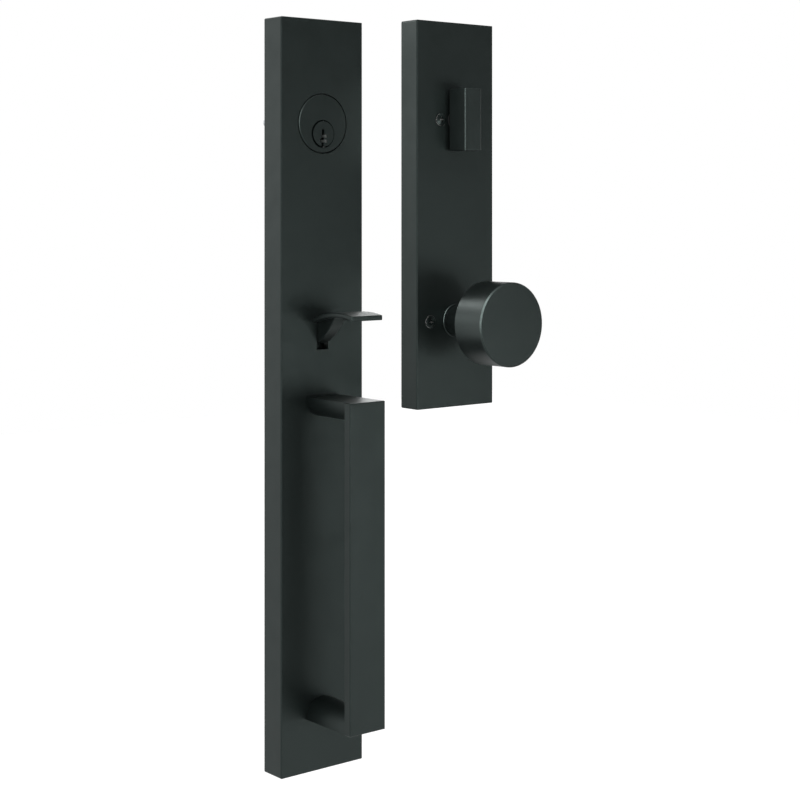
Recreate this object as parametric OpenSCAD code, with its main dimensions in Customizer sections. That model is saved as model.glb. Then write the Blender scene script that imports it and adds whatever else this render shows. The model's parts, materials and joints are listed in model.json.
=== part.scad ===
// Entry door handleset: an exterior half with key cylinder, thumb latch and pull grip,
// and an interior half with turnpiece and knob, standing side by side.
// Millimetres. X runs to the right, Z up, and the plates face -Y.
// The origin is on the latch axis, in the plane of the door's outside face.

/* [Plates] */
// Width of both plates
plate_w = 70; // [68:0.5:84]
// Depth of the exterior plate, from its front face to the door
ext_t = 20; // [19:0.5:26]
// Depth of the interior plate
int_t = 17; // [16.5:0.5:22]
// Front wall of the exterior plate
ext_wall = 5; // [4.5:0.25:6]
// Front wall of the interior plate
int_wall = 4.5; // [4:0.25:5]
// Rim wall round both plates
rim = 4; // [3:0.25:4.5]
// Rounding of the plates' front edges
plate_edge = 0.9; // [0.5:0.1:1.6]
// Rounding of the plates' upright edges at the corners
plate_corner = 1.2; // [0.6:0.1:2.5]
// Thickness of the cast ribs behind the front walls
rib_t = 2.4; // [1.6:0.2:3.2]
// Height of the ribs on the front walls
rib_h = 5; // [3:0.25:7]

/* [Lock centres] */
// Deadbolt axis to latch axis, 5-1/2 inches
centres = 139.7; // [136:0.1:150]
// Deadbolt axis below the top of the exterior plate
deadbolt_drop = 79.5; // [76:0.5:90]
// Deadbolt axis below the top of the interior plate
turn_drop = 68.2; // [62:0.1:80]
// Exterior plate below the grip's lower end
grip_foot = 37; // [32:0.5:80]
// Interior plate below the knob's axis
knob_foot = 60.1; // [50:0.1:90]

/* [Standing apart] */
// Gap between the two halves, seen from the front
half_gap = 7; // [4:0.5:40]
// How far the interior half's face stands in front of the exterior half's
half_step = 52; // [0:1:80]
// How much lower the interior half's top stands
top_step = 1.5; // [0:0.5:20]

/* [Key cylinder] */
// Diameter of the cylinder's face
face_d = 40.4; // [39:0.2:44]
// How far the face stands proud of the plate
face_proud = 0.5; // [0.2:0.1:2]
// Depth of the recess that takes the face's flange
face_recess = 3; // [2:0.25:3.25]
// Gap between the flange and its recess
face_gap = 0.7; // [0.3:0.1:1]
// Diameter of the threaded body
cyl_body_d = 36; // [35.5:0.5:37]
// How far the body reaches behind the door's face
cyl_reach = 8; // [5:0.5:12]
// Diameter of the plug
plug_d = 18.4; // [17:0.2:18.6]
// How far the plug stands proud of the face
plug_proud = 0.8; // [0.2:0.1:1.2]
// How far the plug lies below the middle of the face
plug_offset = 7.1; // [6.6:0.1:7.3]
// Depth of the keyway
keyway_depth = 22; // [16:0.5:23]
// Width of the keyway's upper slot
keyway_w = 2; // [1.4:0.1:2.2]
// Outside diameter of the ring nut
nut_d = 46; // [44:0.5:50]
// Thickness of the ring nut
nut_t = 5; // [3:0.25:7]
// How far the tailpiece reaches behind the door's face
tail_reach = 38; // [30:0.5:60]
// Width of the tailpiece
tail_w = 7; // [5:0.25:7.5]
// Thickness of the tailpiece
tail_t = 2.4; // [1.6:0.1:3]
// Distance of the cylinder's sleeves from its centreline
cyl_sleeve_x = 13.8; // [13.6:0.1:14.4]
// How far the cylinder's sleeves sit above its middle
cyl_sleeve_up = 2; // [0:0.25:3]
// How far the cylinder's sleeves reach behind the door's face
cyl_sleeve_reach = 28; // [24:0.5:60]
// Depth of the thread inside the cylinder's sleeves
cyl_sleeve_bore = 9; // [6:0.5:9.5]

/* [Mounting sleeves] */
// Distance of each latch sleeve above and below the latch axis
latch_sleeve_z = 20.5; // [20.3:0.1:22]
// How far the latch and lower sleeves reach behind the door's face
sleeve_reach = 32; // [22:0.5:60]
// Radius of a sleeve
sleeve_r = 3; // [2.8:0.1:3.4]
// Radius of the thread inside a sleeve
sleeve_bore_r = 1.75; // [1.5:0.05:2]
// Depth of the thread inside a sleeve
sleeve_bore = 16; // [8:0.5:18]
// Height of the lower sleeve above the plate's bottom edge
lower_sleeve_up = 20; // [14:0.5:24]

/* [Pull grip] */
// Width of the grip and of its posts
grip_w = 30; // [26:0.5:34]
// Length of the grip, end to end
grip_len = 222; // [200:1:230]
// Thickness of the grip's bar
bar_t = 6; // [4:0.25:10]
// Front of the bar in front of the plate's face
grip_reach = 51; // [42:0.5:70]
// Top of the grip below the latch axis
grip_drop = 41.8; // [41:0.1:50]
// Rounding of the grip's edges
grip_edge = 0.8; // [0.4:0.1:1.5]
// Radius of the screws that hold the grip
pull_screw_r = 3; // [2.5:0.1:3.2]
// Distance of each grip screw from the flat of its post
pull_screw_in = 7; // [6:0.25:8]

/* [Thumb latch] */
// Width of the thumb paddle
paddle_w = 27; // [22:0.5:32]
// Tip of the paddle in front of the plate's face
paddle_reach = 50.5; // [44:0.5:56]
// Gap between the paddle's inner end and the plate
paddle_root = 6.5; // [5:0.5:8]
// Thickness of the paddle
paddle_t = 3.2; // [2.6:0.1:4]
// Rounding of the paddle's corners, seen from above
paddle_corner = 1.5; // [1:0.25:6]
// Rounding of the paddle's long edges
paddle_edge = 1.1; // [0.5:0.1:1.3]
// Radius of the paddle's arch, seen from the side
arch_r = 80; // [74:1:95]
// Width of the arm under the paddle
arm_w = 9; // [8:0.25:9.5]
// Clearance on each side of the arm in its slot
arm_gap = 0.4; // [0.3:0.05:0.8]
// Height of the slot below the latch axis
slot_low = 9.8; // [9.6:0.1:11]
// Height of the slot above the latch axis
slot_high = 11.5; // [11.3:0.1:12.5]
// Radius of the pivot pin
thumb_pin_r = 2; // [1.6:0.1:2.1]
// How far the arm's tail reaches behind the door's face
thumb_tail = 16; // [8:0.5:30]
// Wire of the thumb spring
thumb_wire_d = 1; // [0.8:0.05:1.1]

/* [Turnpiece] */
// Width of the turnpiece
turn_w = 15; // [12:0.5:18]
// Height of the turnpiece
turn_h = 43.4; // [36:0.2:56]
// Thickness of the turnpiece
turn_t = 16.3; // [12:0.1:22]
// Gap between the turnpiece and the plate
turn_gap = 2.4; // [2.3:0.1:3.4]
// Rounding of the turnpiece's edges
turn_edge = 0.9; // [0.4:0.1:2]
// Radius of the turnpiece's stem
stem_r = 5; // [4:0.1:5.2]
// Distance of each upper screw from the centreline
turn_screw_x = 13.8; // [13.6:0.1:14.6]

/* [Knob] */
// Diameter of the knob
knob_d = 57.2; // [46:0.2:64]
// Thickness of the knob's disc
knob_t = 26.5; // [18:0.5:30]
// Front of the knob in front of the plate's face
knob_reach = 58; // [53:0.5:70]
// Gap between the knob's neck and the plate
knob_gap = 1.2; // [1.1:0.1:2]
// Chamfer of the knob's front edge
knob_chamfer = 0.9; // [0.4:0.1:2.5]
// Radius of the neck behind the disc
neck_r = 10.5; // [10:0.1:12]
// Side of the square spindle
spindle_side = 8; // [7:0.1:8]
// How far the spindle reaches behind the plate
spindle_reach = 30; // [20:0.5:60]
// Distance of each lower screw from the centreline
knob_screw_x = 23.3; // [22.8:0.1:24.6]

/* [Screws and fits] */
// Radial clearance of a turning fit
run_gap = 0.05; // [0.02:0.01:0.1]
// Clearance between a fixed piece and its hole
fit_gap = 0.1; // [0.05:0.05:0.15]
// Clearance between a turning piece and a fixed face
face_clear = 0.4; // [0.35:0.05:0.5]
// Radius of the interior plate's screws
face_screw_r = 2.5; // [2:0.1:2.6]
// Radius of those screws' heads
face_head_r = 4.3; // [3.6:0.1:4.4]
// Thickness of the steel mounting plates
adapter_t = 2.5; // [2:0.25:3]

/* [Hidden] */
$fn = 64;

// Colours
satin_black = "#2c3131";
raw_steel = "#9a9c9c";
zinc = "#b9bcc0";
raw_brass = "#b08d4a";
nylon = "#2a2b2c";

// Shared
half_w = plate_w / 2;
pocket_half = half_w - rim;
pocket_r = 2;
over = 1;
snug = 0.02;
recess_t = 1.6;
recess_w = 1;
recess_share = 0.5;
sleeve_chamfer = 0.5;

// Exterior half: heights from the latch axis, depths from the door's face
ext_top = centres + deadbolt_drop;
ext_front = -ext_t;
ext_back = ext_front + ext_wall;
cyl_z = centres + plug_offset;
grip_top = -grip_drop;
grip_bottom = grip_top - grip_len;
ext_bottom = grip_bottom - grip_foot;
lower_sleeve_z = ext_bottom + lower_sleeve_up;
boss_r = 6;
boss_t = 4;
boss_y = ext_back + boss_t;
spigot_r = sleeve_r - 1;
spigot_in = 4.5;
pad_r = 9;
pad_t = 2.5;
slot_corner = 0.8;
rib_x = 12;
rib_room = 8;

// Key cylinder
nut_r = nut_d / 2;
nut_notch = 4;
nut_notch_in = 2;
nut_notches = 6;
face_chamfer = 0.4;
body_r = cyl_body_d / 2;
body_thread = 0.5;
thread_pitch = 2;
thread_slope = 0.8;
plug_r = plug_d / 2;
plug_chamfer = 0.15;
plug_relief = 0.35;
plug_relief_in = 2.2;
plug_step = 0.7;
plug_step_y = cyl_reach + 0.2;
plug_end = cyl_reach + 3.5;
cap_front = cyl_reach + face_clear;
cap_end = plug_end + 1.6;
cap_r = plug_r + 1.7;
cap_chamfer = 0.5;
tail_tip = 1.5;
disc_r = plug_r - 3;
disc_t = 1.5;
disc_front = plug_end - disc_t - fit_gap;
keyway_high = 3.2;
keyway_x = -0.4;
keyway_fan = 2.7;
keyway_steps = [[-2.5, -0.7, 0, keyway_fan], [-5.4, -3.3, -3, 0], [-5.9, -4.1, -1.4, keyway_fan],
    [-plug_r - 1, -2, -1.9, 0]];

// Thumb latch, in (y, z) of the exterior half
pivot_in = 6;
pivot_up = 2;
pivot = [-pivot_in, pivot_up];
paddle_inner = ext_front - paddle_root;
paddle_tip = ext_front - paddle_reach;
arch_out = 34;
arch_top = 17.7;
arch_mid = [ext_front - arch_out, arch_top - arch_r];
under_r = 48.6;
under_in = 7.2;
under_up = 37;
under_mid = [pivot[0] + under_in, pivot[1] + under_up];
chin_room = 5.5;
arm_half = arm_w / 2;
hub_arm_r = 5;
tail_mid = 2.6;
tail_half = 2;
tail_taper = 2;
thumb_turns = 3;
thumb_pitch = thumb_wire_d + 0.1;
thumb_coil_x = arm_half + 0.4 + thumb_wire_d / 2;
thumb_coil_end = thumb_coil_x + thumb_turns * thumb_pitch;
thumb_lap = 1;
thumb_leg = 2.4;
bridge_y = 1.5;
bracket_boss_r = 4.6;
bracket_front = ext_back + 3;
bracket_t = 1.6;
bracket_back = bracket_front + bracket_t;
bracket_half = 24;
bracket_low = -13.6;
bracket_high = 13.6;
bracket_corner = 2.5;
window_half = thumb_coil_end + thumb_wire_d / 2 + 0.3;
window_low = chin_room - slot_low - 1.6;
window_high = 10;
ear_t = 1.6;
ear_r = 4.4;
pin_head_t = 1.2;
pin_end_t = 0.9;
pin_head_r = thumb_pin_r + 1;
pin_end_r = thumb_pin_r + 0.7;
bracket_screw_x = 18;
bracket_screw_r = 2;
bracket_screw_in = 1.5;
small_head_r = 3.4;
small_head_t = 1.9;

// Grip
pull_head_r = pull_screw_r + 2.4;
pull_head_t = 3.4;
pull_thread = 15;
post_in = 1;
grip_screws = [grip_bottom + pull_screw_in, grip_top - pull_screw_in];

// Interior half: heights from the knob's axis, depths from its own back face
int_top = centres + turn_drop;
int_bottom = -knob_foot;
int_front = -int_t;
int_back = int_front + int_wall;
int_place = [plate_w + half_gap, ext_front - half_step + int_t, ext_top - top_step - int_top];
face_boss_r = 4.6;
face_boss_y = -adapter_t - 2.2;
adapter_half = pocket_half - 0.5;
adapter_high = 28;
adapter_corner = 3;
adapter_hole_r = 3;
adapter_hole_in = 7;
adapter_rib = adapter_high + 4;
bolt_hole_r = 2.3;
face_head_t = 1.9;
face_screw_end = 0.2;

// Turnpiece
bush_r = stem_r + 1.2;
bush_flange_r = stem_r + 2;
bush_flange_t = 0.8;
hub_r = 8;
hub_play = 0.2;
washer_t = 1.1;
washer_gap = 0.3;
hub_front = int_back + washer_t + face_clear;
hub_end = -1.4;
stem_end = hub_end - 3.4;
turn_pin_r = 1.2;
turn_pin_in = 0.4;
turn_pin_y = hub_front + 2.6;

// Knob
knob_front = int_front - knob_reach;
knob_back = knob_front + knob_t;
knob_rim = 0.6;
neck_end = int_front - knob_gap;
journal_r = 8;
collar_flange_t = knob_gap - face_clear;
collar_chamfer = 0.3;
collar_r = journal_r + 2;
collar_flange_r = neck_r + 1.1;
collar_end = int_back + 0.4;
clip_t = 1;
clip_front = collar_end + face_clear;
clip_groove_r = journal_r - 0.8;
clip_r = journal_r + 2.2;
clip_mouth = 2.5;
cam_t = 1.6;
cam_front = clip_front + clip_t + fit_gap;
cam_back = cam_front + cam_t;
cam_r = 12.6;
cam_tab_in = 11.2;
cam_flat = journal_r - 1.4;
tab_half = 1;
journal_end = -adapter_t - 1;
cage_r = 16;
cage_wall = 1.2;
cage_tab_in = cam_r + 0.55;
cage_front = int_back + 0.9;
cage_floor = -adapter_t - 1.1;
cage_bore_r = journal_r + 0.6;
knob_wire_r = 0.7;
knob_coil_r = 9.8;
knob_leg_x = tab_half + knob_wire_r + 0.1;
knob_leg_z = 14;
knob_coil_front = cam_back + knob_wire_r + 0.1;
knob_coil_back = cage_floor - knob_wire_r - 0.1;
knob_turns = 2;
knob_bend = 1.8;
rivet_angles = [-150, -30];
rivet_at = 12.8;
rivet_r = 1.2;
rivet_head_r = 1.8;
rivet_head_t = 0.6;
spindle_in = int_front - 23;
set_screw_r = 2;
set_screw_y = int_front - 14;
set_screw_low = 1 - neck_r;
hex_r = 1.2;
hex_t = 1.5;
up = 90;
coil_step = 18;

// Extrudes an outline drawn in (x, z) from y0 to y1
module along_y(y0, y1) translate([0, y1, 0]) rotate([90, 0, 0]) linear_extrude(y1 - y0) children();

// Extrudes an outline drawn in (y, z) from x0 to x1
module along_x(x0, x1) translate([x0, 0, 0]) rotate([90, 0, 90]) linear_extrude(x1 - x0) children();

// Extrudes an outline drawn in (x, y) from z0 to z1
module along_z(z0, z1) translate([0, 0, z0]) linear_extrude(z1 - z0) children();

// A round bar or bore along Y
module rod_y(r, y0, y1) translate([0, y1, 0]) rotate([90, 0, 0]) cylinder(r = r, h = y1 - y0);

// A round bar or bore along X
module rod_x(r, x0, x1) translate([x0, 0, 0]) rotate([0, 90, 0]) cylinder(r = r, h = x1 - x0);

// A cone along Y, r0 at y0 and r1 at y1
module cone_y(r0, r1, y0, y1)
    translate([0, y1, 0]) rotate([90, 0, 0]) cylinder(r1 = r1, r2 = r0, h = y1 - y0);

// A turned form on the Y axis: the outline's x is the radius and its y the depth in front of y = 0
module turned() rotate([90, 0, 0]) rotate_extrude() children();

// A box between two corners
module block(low, high) translate(low) cube(high - low);

// Copies of something to the left and to the right
module both_x(x) for (side = [-1, 1]) translate([side * x, 0, 0]) children();

// A rectangle whose four corners are arcs
module soft_rect(low, high, r) {
    size = high - low;
    translate([low[0] + r, low[1]]) square([size[0] - 2 * r, size[1]]);
    translate([low[0], low[1] + r]) square([size[0], size[1] - 2 * r]);
    for (x = [low[0] + r, high[0] - r], y = [low[1] + r, high[1] - r]) translate([x, y]) circle(r);
}

// A rectangle with arcs on the two corners of its low-y side only
module soft_front(low, high, r) {
    size = high - low;
    translate([low[0] + r, low[1]]) square([size[0] - 2 * r, size[1]]);
    translate([low[0], low[1] + r]) square([size[0], size[1] - r]);
    for (x = [low[0] + r, high[0] - r]) translate([x, low[1] + r]) circle(r);
}

// A slab that faces -Y, with rounded front edges and rounded upright corners
module slab(half, low, high, front, back, edge, corner) {
    intersection() {
        along_z(low, high) soft_front([-half, front], [half, back], edge);
        along_x(-half, half) mirror([1, -1]) soft_front([low, front], [high, back], edge);
        along_y(front, back) soft_rect([-half, low], [half, high], corner);
    }
}

// A plate with a pocket that is open towards the door
module hollow_plate(low, high, front, wall_back) {
    difference() {
        slab(half_w, low, high, front, 0, plate_edge, plate_corner);
        along_y(wall_back, over) soft_rect([-pocket_half, low + rim], [pocket_half, high - rim], pocket_r);
    }
}

// Ribs across the pocket at several heights
module cross_ribs(heights, back) for (z = heights)
    block([-pocket_half - over, back - over, z - rib_t / 2],
        [pocket_half + over, back + rib_h, z + rib_t / 2]);

// A pair of upright ribs between two heights
module long_ribs(z0, z1, back)
    both_x(rib_x) block([-rib_t / 2, back - over, z0], [rib_t / 2, back + rib_h, z1]);

// The cross recess of a screw head whose face looks towards -Y at y = 0
module cross_recess(r) {
    arm = r * recess_share;
    block([-arm, -over, -recess_w / 2], [arm, recess_t, recess_w / 2]);
    block([-recess_w / 2, -over, -arm], [recess_w / 2, recess_t, arm]);
}

// A screw that is driven towards +Y, its domed head seated at y = 0
module face_screw(r, head_r, head_t, reach) {
    rise = head_t / 2;
    dome_r = (head_r * head_r + rise * rise) / (2 * rise);
    difference() {
        union() {
            intersection() {
                rod_y(head_r, -head_t, 0);
                translate([0, dome_r - head_t, 0]) sphere(dome_r);
            }
            rod_y(r, -rise / 2, reach);
        }
        translate([0, -head_t, 0]) cross_recess(head_r);
    }
}

// A direction of length one
function unit(v) = v / norm(v);

// Directions along a path
function tangents(path) = [for (i = [0:len(path) - 1])
    unit(path[min(i + 1, len(path) - 1)] - path[max(i - 1, 0)])];

// Sideways directions that turn with the path and never spin
function sideways(t, i, u) = i == len(t) ? [] :
    let (w = unit(u - (u * t[i]) * t[i])) concat([w], sideways(t, i + 1, w));

// Three points that round off a corner of a bent wire
function bent(from, corner, to) = [for (t = [0.2:0.3:0.8])
    (1 - t) * (1 - t) * from + 2 * t * (1 - t) * corner + t * t * to];

// A round wire bent along a path
module wire(path, r, start) {
    sides = 8;
    last = len(path) - 1;
    t = tangents(path);
    u = sideways(t, 0, start);
    rings = [for (i = [0:last], k = [0:sides - 1])
        path[i] + r * (cos(360 * k / sides) * u[i] + sin(360 * k / sides) * cross(t[i], u[i]))];
    skin = [for (i = [0:last - 1], k = [0:sides - 1], half = [0, 1])
        let (a = i * sides + k, b = i * sides + (k + 1) % sides)
        half == 0 ? [a, b + sides, b] : [a, a + sides, b + sides]];
    near = [[for (k = [0:sides - 1]) k]];
    far = [[for (k = [sides - 1:-1:0]) last * sides + k]];
    polyhedron(points = rings, faces = concat(near, skin, far));
}

// Threaded sleeve along +Y with a spigot that sits in the casting in front of it
module sleeve(seat, reach, bore) {
    difference() {
        union() {
            rod_y(sleeve_r, seat, reach);
            rod_y(spigot_r, seat - spigot_in, seat + over);
        }
        rod_y(sleeve_bore_r, reach - bore, reach + over);
        cone_y(sleeve_bore_r, sleeve_bore_r + sleeve_chamfer, reach - sleeve_chamfer, reach + fit_gap);
    }
}

// Exterior half

module exterior_plate() {
    latch_rib = latch_sleeve_z + boss_r + rib_room;
    cyl_rib = cyl_z - nut_r - rib_room;
    top_rib = (cyl_z + nut_r + ext_top) / 2;
    grip_ribs = [grip_screws[0] + pad_r + rib_room, grip_screws[1] - pad_r - rib_room];
    grip_step = (grip_ribs[1] - grip_ribs[0]) / 4;
    color(satin_black) difference() {
        union() {
            hollow_plate(ext_bottom, ext_top, ext_front, ext_back);
            cross_ribs([top_rib, cyl_rib, (cyl_rib + latch_rib) / 2, latch_rib], ext_back);
            cross_ribs([for (i = [0:4]) grip_ribs[0] + i * grip_step], ext_back);
            long_ribs(latch_rib, cyl_rib, ext_back);
            long_ribs(grip_ribs[0], grip_ribs[1], ext_back);
            for (z = [latch_sleeve_z, -latch_sleeve_z, lower_sleeve_z])
                translate([0, 0, z]) rod_y(boss_r, ext_back - over, boss_y);
            both_x(bracket_screw_x) rod_y(bracket_boss_r, ext_back - over, bracket_front);
            for (z = grip_screws) translate([0, 0, z]) rod_y(pad_r, ext_back - over, ext_back + pad_t);
        }
        translate([0, 0, cyl_z]) {
            rod_y(face_d / 2 + face_gap, ext_front - over, ext_front + face_recess);
            rod_y(body_r + fit_gap, ext_front, ext_back + over);
        }
        along_y(ext_front - over, ext_back + over)
            soft_rect([-arm_half - arm_gap, -slot_low], [arm_half + arm_gap, slot_high], slot_corner);
        for (z = [latch_sleeve_z, -latch_sleeve_z, lower_sleeve_z])
            translate([0, 0, z]) rod_y(spigot_r + fit_gap, boss_y - spigot_in - fit_gap, boss_y + over);
        both_x(bracket_screw_x)
            rod_y(bracket_screw_r + fit_gap, ext_back - bracket_screw_in, bracket_front + over);
        for (z = grip_screws) translate([0, 0, z])
            rod_y(pull_screw_r + fit_gap, ext_front - over, ext_back + pad_t + over);
    }
}

module cylinder_housing() {
    first = ext_back + nut_t + thread_pitch;
    grooves = floor((cyl_reach - thread_pitch - first) / thread_pitch);
    face_r = face_d / 2;
    front = -ext_front + face_proud;
    color(satin_black) translate([0, 0, cyl_z]) difference() {
        union() {
            turned() polygon([[0, -ext_front - face_recess], [face_r, -ext_front - face_recess],
                [face_r, front - face_chamfer], [face_r - face_chamfer, front], [0, front]]);
            rod_y(body_r, ext_front + face_recess - over, cyl_reach);
        }
        for (i = [0:grooves - 1]) translate([0, first + i * thread_pitch, 0])
            turned() polygon([[body_r - body_thread, 0], [body_r + over, -thread_slope],
                [body_r + over, thread_slope]]);
        translate([0, 0, -plug_offset]) rod_y(plug_r + run_gap, ext_front - over, cyl_reach + over);
        translate([0, 0, cyl_sleeve_up]) both_x(cyl_sleeve_x)
            rod_y(spigot_r + fit_gap, cyl_reach - spigot_in - fit_gap, cyl_reach + over);
    }
}

module cylinder_nut() {
    color(raw_brass) translate([0, 0, cyl_z]) difference() {
        rod_y(nut_r, ext_back, ext_back + nut_t);
        rod_y(body_r + fit_gap, ext_back - over, ext_back + nut_t + over);
        for (i = [0:nut_notches - 1]) rotate([0, i * 360 / nut_notches, 0])
            block([nut_r - nut_notch_in, ext_back - over, -nut_notch / 2],
                [nut_r + over, ext_back + nut_t + over, nut_notch / 2]);
    }
}

module cylinder_sleeves() {
    color(zinc) translate([0, 0, cyl_z + cyl_sleeve_up]) both_x(cyl_sleeve_x)
        sleeve(cyl_reach, cyl_sleeve_reach, cyl_sleeve_bore);
}

module key_plug() {
    front = -ext_front + face_proud + plug_proud;
    rim_r = plug_r - plug_relief;
    color(satin_black) translate([0, 0, centres]) difference() {
        turned() polygon([[0, -plug_end], [plug_r - plug_step, -plug_end], [plug_r - plug_step, -plug_step_y],
            [plug_r, -plug_step_y], [plug_r, front - plug_relief_in], [rim_r, front - plug_relief_in],
            [rim_r, front - plug_chamfer], [rim_r - plug_chamfer, front], [0, front]]);
        along_y(-front - over, keyway_depth - front) {
            translate([keyway_x - keyway_w / 2, -keyway_high]) square([keyway_w, 2 * keyway_high]);
            for (k = keyway_steps) translate([k[2], k[0]]) square([k[3] - k[2], k[1] - k[0]]);
        }
        rod_y(disc_r + fit_gap, disc_front - fit_gap, plug_end + over);
    }
}

module plug_retainer() {
    slot_x = tail_t / 2 + fit_gap;
    slot_z = tail_w / 2 + fit_gap;
    neck = plug_r - plug_step + fit_gap;
    color(zinc) translate([0, 0, centres]) difference() {
        turned() polygon([[0, -cap_end], [cap_r - cap_chamfer, -cap_end], [cap_r, cap_chamfer - cap_end],
            [cap_r, -cap_front], [neck, -cap_front], [neck, -plug_end], [0, -plug_end]]);
        block([-slot_x, cap_front - over, -slot_z], [slot_x, cap_end + over, slot_z]);
    }
}

module tailpiece() {
    half = tail_w / 2;
    color(zinc) translate([0, 0, centres]) {
        rod_y(disc_r, disc_front, plug_end);
        along_x(-tail_t / 2, tail_t / 2)
            polygon([[plug_end - over, -half], [tail_reach - tail_tip, -half], [tail_reach, tail_tip - half],
                [tail_reach, half - tail_tip], [tail_reach - tail_tip, half], [plug_end - over, half]]);
    }
}

module pull_grip() {
    bar_front = ext_front - grip_reach;
    bar_back = bar_front + bar_t;
    half = grip_w / 2;
    post_r = half - post_in;
    color(satin_black) difference() {
        union() {
            slab(half, grip_bottom, grip_top, bar_front, bar_back, grip_edge, grip_edge);
            along_y(bar_back - over, ext_front) {
                intersection() {
                    translate([0, grip_top]) circle(post_r);
                    translate([-half, grip_top - half]) square([grip_w, half]);
                }
                intersection() {
                    translate([0, grip_bottom]) circle(post_r);
                    translate([-half, grip_bottom]) square([grip_w, half]);
                }
            }
        }
        for (z = grip_screws) translate([0, 0, z])
            rod_y(pull_screw_r + fit_gap, ext_front - pull_thread - over, ext_front + over);
    }
}

module pull_screws() {
    seat = ext_back + pad_t;
    color(zinc) for (z = grip_screws)
        translate([0, seat, z]) rotate([0, 0, 180])
            face_screw(pull_screw_r, pull_head_r, pull_head_t, seat - ext_front + pull_thread);
}

// The arm's outline in (y, z): from the hub through the slot, curving up under the paddle
module thumb_arm() {
    mid_r = arch_r - paddle_t / 2;
    inner_z = arch_mid[1] + sqrt(mid_r * mid_r - pow(paddle_inner - arch_mid[0], 2));
    chin = chin_room - slot_low;
    translate(pivot) circle(hub_arm_r);
    intersection() {
        translate(under_mid) circle(under_r, $fn = 128);
        union() {
            polygon([[paddle_inner, inner_z], [pivot[0], pivot[1] + hub_arm_r],
                [pivot[0], pivot[1] - hub_arm_r], [ext_back, chin], [paddle_inner, 2 * chin]]);
            intersection() {
                translate(arch_mid) circle(mid_r, $fn = 128);
                translate([arch_mid[0], -slot_low]) square([paddle_inner - arch_mid[0], slot_low + arch_top]);
            }
        }
    }
}

// The tail's outline in (y, z)
module thumb_tail_outline() {
    low = tail_mid - tail_half;
    high = tail_mid + tail_half;
    polygon([[pivot[0], low], [thumb_tail - tail_taper, low], [thumb_tail, tail_mid],
        [thumb_tail - tail_taper, high], [pivot[0], high]]);
}

module thumbpiece() {
    half = paddle_w / 2;
    color(satin_black) difference() {
        union() {
            intersection() {
                translate([0, arch_mid[0], arch_mid[1]]) rotate([0, 90, 0]) rotate_extrude($fn = 128)
                    soft_rect([arch_r - paddle_t, -half], [arch_r, half], paddle_edge);
                along_z(0, 2 * arch_r) soft_rect([-half, paddle_tip], [half, paddle_inner], paddle_corner);
            }
            along_x(-arm_half, arm_half) {
                thumb_arm();
                thumb_tail_outline();
            }
        }
        translate([0, pivot[0], pivot[1]]) rod_x(thumb_pin_r + run_gap, -arm_w, arm_w);
    }
}

module thumb_bracket() {
    color(satin_black) difference() {
        union() {
            along_y(bracket_front, bracket_back) difference() {
                soft_rect([-bracket_half, bracket_low], [bracket_half, bracket_high], bracket_corner);
                translate([-window_half, window_low]) square([2 * window_half, window_high - window_low]);
            }
            both_x(window_half + ear_t / 2) along_x(-ear_t / 2, ear_t / 2) {
                translate(pivot) circle(ear_r);
                translate([bracket_front, pivot[1] - ear_r]) square([pivot[0] - bracket_front, 2 * ear_r]);
            }
        }
        translate([0, pivot[0], pivot[1]]) rod_x(thumb_pin_r + snug, -bracket_half, bracket_half);
        both_x(bracket_screw_x) rod_y(bracket_screw_r + fit_gap, bracket_front - over, bracket_back + over);
    }
}

module thumb_pivot_pin() {
    inner = window_half + ear_t;
    color(zinc) translate([0, pivot[0], pivot[1]]) {
        rod_x(thumb_pin_r, -inner - pin_head_t / 2, inner + pin_end_t / 2);
        rod_x(pin_head_r, -inner - pin_head_t, -inner);
        rod_x(pin_end_r, inner, inner + pin_end_t);
    }
}

module thumb_spring() {
    r = thumb_wire_d / 2;
    lift = tail_mid + tail_half + r + snug;
    top = lift - pivot[1];
    leg = [bracket_back + r + snug, window_high + thumb_leg];
    away = leg - pivot;
    leave = atan2(away[1], away[0]) - acos(top / norm(away));
    sweep = 360 * thumb_turns - up + leave;
    steps = ceil(sweep / coil_step);
    coil = [for (i = [0:steps]) let (a = up + sweep * i / steps)
        [thumb_coil_x + (thumb_coil_end - thumb_coil_x) * i / steps,
            pivot[0] + top * cos(a), pivot[1] + top * sin(a)]];
    half_path = concat(
        [[0, bridge_y, lift], [thumb_coil_x - thumb_lap, bridge_y, lift],
            [thumb_coil_x, bridge_y - thumb_lap, lift]],
        coil,
        [[thumb_coil_end, leg[0], leg[1]]]);
    mirrored = [for (i = [len(half_path) - 1:-1:1]) [-half_path[i][0], half_path[i][1], half_path[i][2]]];
    color(raw_steel) wire(concat(mirrored, half_path), r, [1, 0, 0]);
}

module thumb_bracket_screws() {
    reach = bracket_back - ext_back + bracket_screw_in - fit_gap;
    color(zinc) both_x(bracket_screw_x) translate([0, bracket_back, 0]) rotate([0, 0, 180])
        face_screw(bracket_screw_r, small_head_r, small_head_t, reach);
}

module latch_sleeves() {
    color(zinc) for (z = [-latch_sleeve_z, latch_sleeve_z])
        translate([0, 0, z]) sleeve(boss_y, sleeve_reach, sleeve_bore);
}

module lower_sleeve() {
    color(zinc) translate([0, 0, lower_sleeve_z]) sleeve(boss_y, sleeve_reach, sleeve_bore);
}

// Interior half

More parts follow.
